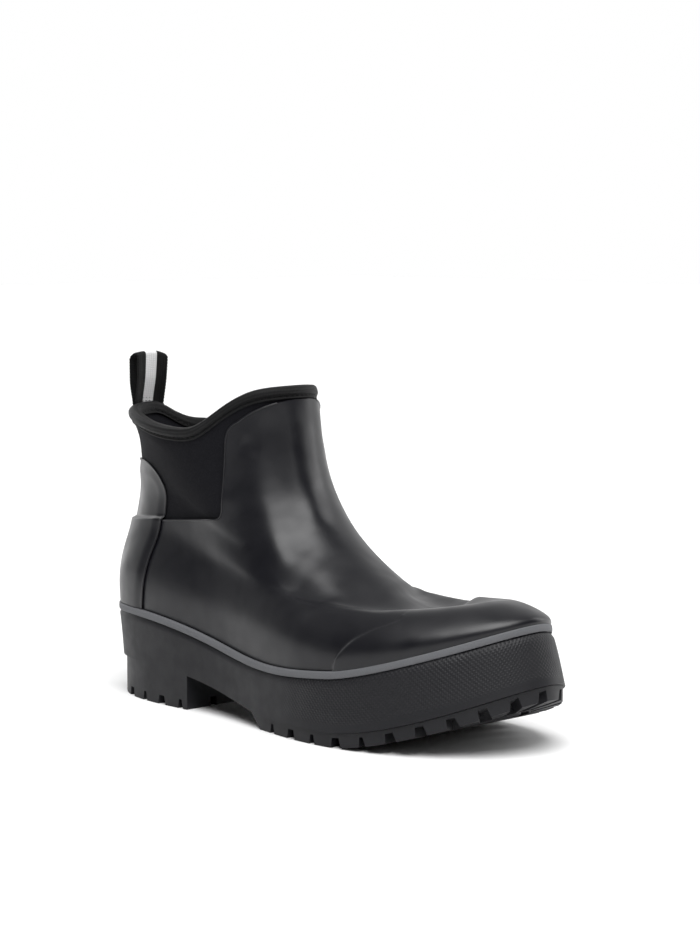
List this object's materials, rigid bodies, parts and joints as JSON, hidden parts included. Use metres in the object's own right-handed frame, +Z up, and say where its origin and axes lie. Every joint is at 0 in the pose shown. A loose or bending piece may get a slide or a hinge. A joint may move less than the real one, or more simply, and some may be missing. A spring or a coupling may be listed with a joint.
{
  "type": "ankle rain boot",
  "caption": "Right ankle rain boot: moulded rubber shell over a foam bootie, bound collar with pull loop, deep cupped sole with lugged tread and heel block.",
  "frame": {"origin": "on the floor, at the middle of the boot's length and width", "axes": "+X towards the toe, -Y towards the outer side of the right foot, +Z up"},
  "size_m": [0.3068, 0.1154, 0.1911],
  "materials": {
    "black_rubber": "moulded, satin",
    "sole_rubber": "moulded, matte",
    "grey_rubber": "moulded, matte",
    "foam_knit": "knit faced foam",
    "binding_tape": "woven tape",
    "webbing": "woven webbing with a pale stripe",
    "insole_foam": "cloth faced foam"
  },
  "bodies": {
    "root": {"upper": "black_rubber", "bootie": "foam_knit", "counter": "black_rubber", "binding": "binding_tape", "pull_loop": "webbing", "strip": "grey_rubber", "midsole": "sole_rubber", "insole": "insole_foam", "outsole": "sole_rubber", "heel": "sole_rubber"}
  },
  "joints": []
}
